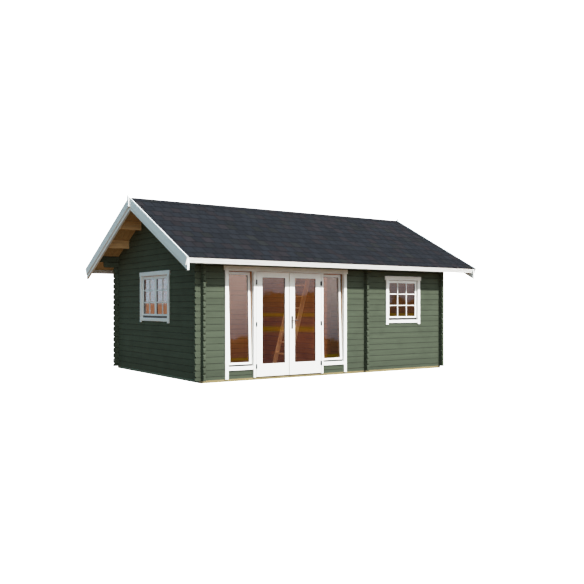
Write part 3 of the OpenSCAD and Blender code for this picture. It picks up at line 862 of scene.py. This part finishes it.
class CABIN_OT_roof_edges(bpy.types.Operator):
    """Makes the fascias, verge boards, bargeboards, cap strips and finials"""

    bl_idname = "cabin.roof_edges"
    bl_label = "Roof edges"

    def execute(self, context):
        self.make_fascias()
        eased_node("verge_boards", white("Y"))
        eased_node("bargeboards", white("Y"))
        eased_node("verge_caps", white("Y"), width=0.002)
        eased_node("finials", white("Z"))
        return {"FINISHED"}

    def make_fascias(self):
        """Fascias with two grooves, and a bare batten between them and the shingles."""
        bm = merged("fascias")
        top = max(above_roof(v.co) for v in bm.verts)
        batten, half_width = 0.008, 0.009
        for v in bm.verts:
            if above_roof(v.co) > top - MERGE:
                v.co -= out(-1 if v.co.y < 0 else 1) * batten
        outer = max(v.co.dot(down(1)) for v in bm.verts)
        deep = min(above_roof(v.co) for v in bm.verts)

        def shift(co):
            side = -1 if co.y < 0 else 1
            return -down(side) * 0.005 if co.dot(down(side)) > outer - 0.001 else None

        for side in (-1, 1):
            for share in (0.30, 0.66):
                point = on_roof(side, 0, top + (deep - top) * share)
                groove(bm, point, out(side), 0.005, shift)
        piece("fascia_boards", bm, white("X"), CABIN, "white_paint", "fascias")
        bm = bmesh.new()
        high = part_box("fascias")[1]
        for side in (-1, 1):
            u = high.y / math.cos(PITCH) + 0.001
            middle = on_roof(side, u - half_width, top - batten / 2)
            half = Vector((high.x, half_width, batten / 2 - 0.0004))
            block(bm, middle - half, middle + half, roof_turn(side))
        tarred = bare_timber("tarred_batten", "X", (0.07, 0.030, 0.018), 85.0)
        piece("eave_battens", bm, tarred, CABIN, "pine")


class CABIN_OT_entrance(bpy.types.Operator):
    """Finishes the entrance frame, its trims and the side windows"""

    bl_idname = "cabin.entrance"
    bl_label = "Entrance frame"

    def execute(self, context):
        eased_node("entrance_posts", rebated_paint("rebated_paint_z", "Z"))
        eased_node("entrance_head", rebated_paint("rebated_paint_x", "X"))
        eased_node("entrance_trims", white("Z"))
        eased_node("side_window_sills", white("X"), width=0.005)
        eased_node("side_window_sashes", white("Z"), width=0.004)
        paint_node("side_window_glass", window_glass("window_glass"))
        # The strips under the sashes are real seals, and are black as painted shade in the gap below
        # each sash.
        paint_node("window_strips", seal())
        self.seal_side_windows()
        return {"FINISHED"}

    def seal_side_windows(self):
        """Dark seals around the panes of the leaning sashes, which line the rebates as painted
        shade.
        """
        bm = bmesh.new()
        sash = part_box("side_window_sashes")
        pivot = Vector((0, sash[0].y, sash[0].z))
        turn = Matrix.Translation(pivot) @ Matrix.Rotation(-SASH_LEAN, 4, "X")
        for low, high in islands("side_window_glass"):
            back = turn.inverted() @ Vector((0, low.y, low.z))
            top = turn.inverted() @ Vector((0, high.y, high.z))
            z0, z1, y = back.z, top.z, PANE_SINK
            corners = [(low.x, y, z0), (high.x, y, z0), (high.x, y, z1), (low.x, y, z1)]
            ring(bm, [turn @ Vector(c) for c in corners], sizes().seal_width,
                 turn.to_3x3() @ Vector((0, -SEAL_DEPTH, 0)))
        piece("side_window_seals", bm, gasket_and_rebate_shade(), CABIN, "seal")


class CABIN_OT_doors(bpy.types.Operator):
    """Makes the two door leaves with their glass, seals, hinges and handle"""

    bl_idname = "cabin.doors"
    bl_label = "Doors"

    def execute(self, context):
        for side, body in (("left", LEFT_DOOR), ("right", RIGHT_DOOR)):
            eased_node(side + "_door_leaf", white("Z"), body, width=0.004)
            paint_node(side + "_door_glass", window_glass("window_glass"))
            self.seal_leaf(side, body)
            self.make_hinges(side, body)
        self.make_meeting_strip()
        self.make_handle()
        return {"FINISHED"}

    def seal_leaf(self, side, body):
        """Dark seals on both faces of the glass, which line the rebates as painted shade."""
        low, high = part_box(side + "_door_glass")
        bm = bmesh.new()
        for y, depth in ((low.y - PANE_GAP, -DOOR_SEAL_FRONT), (high.y + PANE_GAP, DOOR_SEAL_BACK)):
            corners = [(low.x, y, low.z), (high.x, y, low.z), (high.x, y, high.z),
                       (low.x, y, high.z)]
            ring(bm, [Vector(c) for c in corners], sizes().seal_width, Vector((0, depth, 0)))
        piece(side + "_door_seals", bm, gasket_and_rebate_shade(), body, "seal")

    def make_hinges(self, side, body):
        """Barrels in three knuckles, each with a flap and three screws."""
        bm = bmesh.new()
        node = side + "_door_hinges"
        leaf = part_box(side + "_door_leaf")
        sign = 1 if side == "left" else -1
        barrel, pin, inset, split = 0.0155, 0.012, 0.008, 0.001
        for low, high in islands(node):
            axis = low.x + inset if sign > 0 else high.x - inset
            face = low.y + inset
            height = high.z - low.z
            for k in range(3):
                z0 = low.z + height * k / 3 + split
                z1 = low.z + height * (k + 1) / 3 - split
                bar(bm, (axis, face, z0), (axis, face, z1), barrel)
            bar(bm, (axis, face, low.z), (axis, face, high.z), pin)
            edge = high.x if sign > 0 else low.x
            x0, x1 = sorted((axis, edge))
            block(bm, (x0, leaf[0].y - 0.004, low.z + 0.004), (x1, leaf[0].y, high.z - 0.004))
            block(bm, (min(axis, axis + sign * 0.005), face, low.z + 0.006),
                  (max(axis, axis + sign * 0.005), leaf[0].y - 0.001, high.z - 0.006))
            for k in (-1, 0, 1):
                z = (low.z + high.z) / 2 + k * height * 0.3
                x = edge - sign * 0.008
                bar(bm, (x, leaf[0].y - 0.0055, z), (x, leaf[0].y - 0.003, z), 0.007)
        piece(node + "_made", bm, zinc(), body, "hinge_metal", node)

    def make_meeting_strip(self):
        """A rounded strip on the meeting edge of the right leaf."""
        low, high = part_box("right_door_leaf")
        width, proud, sunk = 0.058, 0.008, 0.001
        bm = bmesh.new()
        block(bm, (low.x, low.y - proud, low.z), (low.x + width, low.y + sunk, high.z))
        ease(bm, 0.003)
        piece("meeting_strip", bm, white("Z"), RIGHT_DOOR, "white_paint")

    def make_handle(self):
        """A long plate, a lever on a round neck and a lock cylinder."""
        low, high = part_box("door_handle")
        half_plate, neck, lever = 0.017, 0.017, 0.0155
        face = high.y - 0.0105
        middle = low.x + half_plate + 0.001
        spindle = high.z - 0.080
        bm = bmesh.new()
        verts = block(bm, (middle - half_plate, face, low.z), (middle + half_plate, high.y, high.z))
        edges = {e for v in verts for e in v.link_edges}
        corners = [e for e in edges if abs((e.verts[0].co - e.verts[1].co).normalized().y) > 0.9]
        bmesh.ops.bevel(bm, geom=corners, offset=0.013, offset_type="OFFSET", affect="EDGES",
                        segments=5, profile=0.5, material=-1)
        ease(bm, 0.002)
        lock = spindle - 0.085
        bar(bm, (middle, face - 0.004, spindle), (middle, face + 0.001, spindle), 0.026)
        bar(bm, (middle, face - 0.006, lock), (middle, face, lock), 0.017)
        piece("handle_plate", bm, seal(), RIGHT_DOOR, "hinge_metal")
        bm = bmesh.new()
        reach = low.y + 0.008
        knee, tip = Vector((middle, reach, spindle)), Vector((high.x - 0.008, reach, spindle))
        bar(bm, knee, (middle, face, spindle), neck)
        bar(bm, knee, tip, lever)
        for place, radius in ((knee, 0.0088), (tip, 0.0080)):
            bmesh.ops.create_uvsphere(bm, u_segments=20, v_segments=10, radius=radius,
                                      matrix=Matrix.Translation(place))
        piece("handle_lever", bm, satin(), RIGHT_DOOR, "handle_metal", "door_handle")


class CABIN_OT_windows(bpy.types.Operator):
    """Finishes the two small windows and adds their glazing bars"""

    bl_idname = "cabin.windows"
    bl_label = "Small windows"

    def execute(self, context):
        glass = window_glass("window_glass")
        for node in ("front_window_frame", "front_window_sash", "front_window_trims",
                     "gable_window_frame", "gable_window_sashes", "gable_window_trims"):
            eased_node(node, white("Z"))
        for node in ("front_window_glass", "gable_window_glass"):
            paint_node(node, glass)
        for node, columns, name in (("front_window_glass", 3, "front_window_bars"),
                                    ("gable_window_glass", 2, "gable_window_bars")):
            bars, seals = bmesh.new(), bmesh.new()
            for low, high in islands(node):
                self.add_bars(bars, low, high, columns, 3)
                self.add_seals(seals, low, high)
            piece(name, bars, white("Z"), CABIN, "white_paint")
            piece(name + "_seals", seals, gasket_and_rebate_shade(), CABIN, "seal")
        return {"FINISHED"}

    def add_bars(self, bm, low, high, columns, rows):
        """Bars on both faces of a pane."""
        thin = thin_axis(low, high)
        wide = 1 - thin
        width = sizes().bar_width
        for side in (-1, 1):
            face = (low if side < 0 else high)[thin] + side * PANE_GAP
            near, far = sorted((face, face + side * BAR_DEPTH))
            pane = (high[wide] - low[wide] - (columns - 1) * width) / columns
            for k in range(1, columns):
                start = low[wide] + k * pane + (k - 1) * width
                self.add_bar(bm, thin, near, far, start, start + width, low.z, high.z)
            pane = (high.z - low.z - (rows - 1) * width) / rows
            for k in range(1, rows):
                start = low.z + k * pane + (k - 1) * width
                self.add_bar(bm, thin, near, far, low[wide], high[wide], start, start + width)

    def add_bar(self, bm, thin, near, far, a, b, z0, z1):
        """One bar from near to far across the pane and from a to b along it."""
        low, high = [near, a, z0], [far, b, z1]
        if thin == 1:
            low, high = [a, near, z0], [b, far, z1]
        verts = block(bm, low, high)
        ease(bm, 0.003, edges={e for v in verts for e in v.link_edges})

    def add_seals(self, bm, low, high):
        """Dark seals on both faces of a pane, which line the rebates as painted shade."""
        thin = thin_axis(low, high)
        for side in (-1, 1):
            face = (low if side < 0 else high)[thin] + side * PANE_GAP
            spots = [(low, low), (high, low), (high, high), (low, high)]
            corners = [Vector((face, p.y, q.z)) if thin == 0 else Vector((p.x, face, q.z))
                       for p, q in spots]
            depth = (Y if thin else X) * side * SEAL_DEPTH
            ring(bm, corners, sizes().seal_width, depth)


class CABIN_OT_stage(bpy.types.Operator):
    """Builds the floor, the lights and the camera"""

    bl_idname = "cabin.stage"
    bl_label = "Stage"

    def execute(self, context):
        self.set_film(context.scene.view_settings)
        self.make_floor()
        self.make_sun()
        self.make_lamp()
        self.make_world(context.scene)
        self.make_camera(context.scene)
        return {"FINISHED"}

    def set_film(self, view):
        """A soft shoulder, so that sunlit white paint keeps its shading."""
        view.view_transform = "Standard"
        view.use_curve_mapping = True
        film = view.curve_mapping
        film.white_level = [studio().white_point] * 3
        for x, y in ((0.07, 0.21), (0.14, 0.41), (0.22, 0.58), (0.32, 0.72), (0.5, 0.84),
                     (0.8, 0.93)):
            film.curves[3].points.new(x, y)
        film.update()

    def make_floor(self):
        bm = bmesh.new()
        bmesh.ops.create_grid(bm, x_segments=2, y_segments=2, size=studio().floor_size / 2)
        bmesh.ops.translate(bm, verts=bm.verts, vec=-Z * 0.002)
        material, _, shader = finish("pale_floor", 0.9, 0.0)
        shader.inputs["Base Color"].default_value = (0.30, 0.30, 0.30, 1.0)
        shader.inputs["Emission Color"].default_value = (1.0, 1.0, 1.0, 1.0)
        shader.inputs["Emission Strength"].default_value = 4.0
        floor = solid("floor", bm, material)
        floor.visible_diffuse = False
        floor.visible_glossy = False
        floor.visible_transmission = False
        floor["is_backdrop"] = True

    def make_sun(self):
        data = bpy.data.lights.new("sun", "SUN")
        data.energy = studio().sun_strength
        data.angle = studio().sun_softness
        data.color = (1.0, 0.975, 0.94)
        sun = placed("sun", data)
        towards = Vector(studio().sun_way)
        sun.rotation_euler = towards.to_track_quat("Z", "Y").to_euler()
        sun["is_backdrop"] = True

    def make_lamp(self):
        """A weak warm light in the main room."""
        data = bpy.data.lights.new("lamp", "POINT")
        data.energy = studio().lamp_power
        data.shadow_soft_size = 0.4
        data.color = (1.0, 0.62, 0.36)
        lamp = placed("lamp", data)
        lamp.location = (-1.2, -0.7, 0.9)
        lamp.visible_camera = False
        lamp.visible_glossy = False
        lamp.visible_transmission = False
        lamp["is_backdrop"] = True

    def make_world(self, scene):
        """Plain white behind the cabin, soft light from all round, and a view for mirrors."""
        world = bpy.data.worlds.new("studio")
        scene.world = world
        world.use_nodes = True
        tree = world.node_tree
        background = tree.nodes["Background"]
        way = add(tree, "ShaderNodeTexCoord").outputs["Generated"]
        parts = add(tree, "ShaderNodeSeparateXYZ", {0: way}).outputs
        ray = add(tree, "ShaderNodeLightPath").outputs
        shown = blend(tree, ray["Is Glossy Ray"], self.soft_light(tree, parts),
                      self.mirrored(tree, way, parts))
        bright = studio().white_point * 1.4
        shown = blend(tree, ray["Is Camera Ray"], shown, (bright, bright, bright, 1.0))
        tree.links.new(shown, background.inputs["Color"])

    def soft_light(self, tree, parts):
        """Dim warm ground, blue sky, and the brightest sky low in front."""
        front = calc(tree, "MAXIMUM", calc(tree, "MULTIPLY", parts[1], -1.0), 0.0)
        front = calc(tree, "POWER", front, 3.0)
        blue, bright, ground = (0.17, 0.46, 0.61), (3.0, 3.15, 3.15), (0.27, 0.195, 0.12)
        sky = blend(tree, front, colour(blue), colour(bright))
        rise = span(tree, parts[2], -0.04, 0.06, 0.0, 1.0, True)
        return blend(tree, rise, colour(ground), sky)

    def mirrored(self, tree, way, parts):
        """What the panes mirror: a soft sky, a low row of trees and two pale strips of field."""
        low_sky, high_sky, cloud_tint = (0.56, 0.46, 0.48), (1.85, 1.52, 1.36), (2.1, 1.7, 1.5)
        near_ground, far_ground, field = (0.20, 0.10, 0.09), (0.42, 0.18, 0.03), (0.50, 0.30, 0.0)
        side_ground, side_sky = (0.75, 0.38, 0.22), (0.92, 1.2, 1.40)
        rise = parts[2]
        rough = add(tree, "ShaderNodeTexNoise",
                    {"Vector": way, "Scale": 60.0, "Detail": 6.0, "Roughness": 0.6})
        cloud = add(tree, "ShaderNodeTexNoise",
                    {"Vector": way, "Scale": 9.0, "Detail": 4.0, "Roughness": 0.5})
        edge = calc(tree, "ADD", rise, span(tree, rough.outputs[0], 0.3, 0.7, -0.007, 0.007))
        lower = span(tree, parts[0], 0.585, 0.615, 0.0, 0.008, True)
        edge = calc(tree, "ADD", edge, lower)
        sky = blend(tree, span(tree, rise, 0.01, 0.12), colour(low_sky), colour(high_sky))
        veil = calc(tree, "MULTIPLY", span(tree, rise, 0.03, 0.10),
                    span(tree, cloud.outputs[0], 0.42, 0.62, 0.0, 0.4, True))
        sky = blend(tree, veil, sky, colour(cloud_tint))
        ground = blend(tree, span(tree, rise, -0.02, 0.02), colour(near_ground),
                       colour(far_ground))
        for height, half in ((-0.0122, 0.0022), (-0.0315, 0.0035)):
            away = calc(tree, "ABSOLUTE", calc(tree, "SUBTRACT", rise, height))
            strip = span(tree, away, half + 0.0012, half - 0.0012)
            ground = blend(tree, strip, ground, colour(field))
        front = blend(tree, span(tree, edge, 0.015, 0.018, 0.0, 1.0, True), ground, sky)
        side = blend(tree, span(tree, rise, 0.001, 0.007), colour(side_ground), colour(side_sky))
        return blend(tree, span(tree, parts[1], -0.2, 0.2), front, side)

    def make_camera(self, scene):
        data = bpy.data.cameras.new("camera")
        data.lens = studio().camera_lens
        data.sensor_width = 36.0
        data.shift_y = studio().camera_rise
        data.clip_end = 500.0
        camera = placed("camera", data)
        camera.location = studio().camera_place
        camera.rotation_euler = (math.pi / 2, 0.0, -studio().camera_turn)
        scene.camera = camera


OPERATORS = (
    CABIN_OT_log_walls,
    CABIN_OT_base,
    CABIN_OT_ladder,
    CABIN_OT_roof_timbers,
    CABIN_OT_shingles,
    CABIN_OT_roof_edges,
    CABIN_OT_entrance,
    CABIN_OT_doors,
    CABIN_OT_windows,
    CABIN_OT_stage,
)


class CABIN_PT_panel(bpy.types.Panel):
    """Lists the pieces of the cabin"""

    bl_label = "Log Cabin"
    bl_idname = "CABIN_PT_panel"
    bl_space_type = "VIEW_3D"
    bl_region_type = "UI"
    bl_category = "Cabin"

    def draw(self, context):
        for operator in OPERATORS:
            self.layout.operator(operator.bl_idname)
        for settings in (sizes(), colours(), studio()):
            box = self.layout.box()
            for name in settings.__annotations__:
                box.prop(settings, name)


CLASSES = (CabinSizes, CabinColours, CabinStudio, *OPERATORS, CABIN_PT_panel)


def register():
    for cls in CLASSES:
        bpy.utils.register_class(cls)
    bpy.types.Scene.cabin_sizes = PointerProperty(type=CabinSizes)
    bpy.types.Scene.cabin_colours = PointerProperty(type=CabinColours)
    bpy.types.Scene.cabin_studio = PointerProperty(type=CabinStudio)


def unregister():
    del bpy.types.Scene.cabin_sizes
    del bpy.types.Scene.cabin_colours
    del bpy.types.Scene.cabin_studio
    for cls in reversed(CLASSES):
        bpy.utils.unregister_class(cls)


def main():
    register()
    for operator in OPERATORS:
        category, name = operator.bl_idname.split(".")
        getattr(getattr(bpy.ops, category), name)()
    boxes = {"cad": CAD_BOX, "visual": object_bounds()}
    plain = {key: [list(corner) for corner in box] for key, box in boxes.items()}


if __name__ == "__main__":
    main()
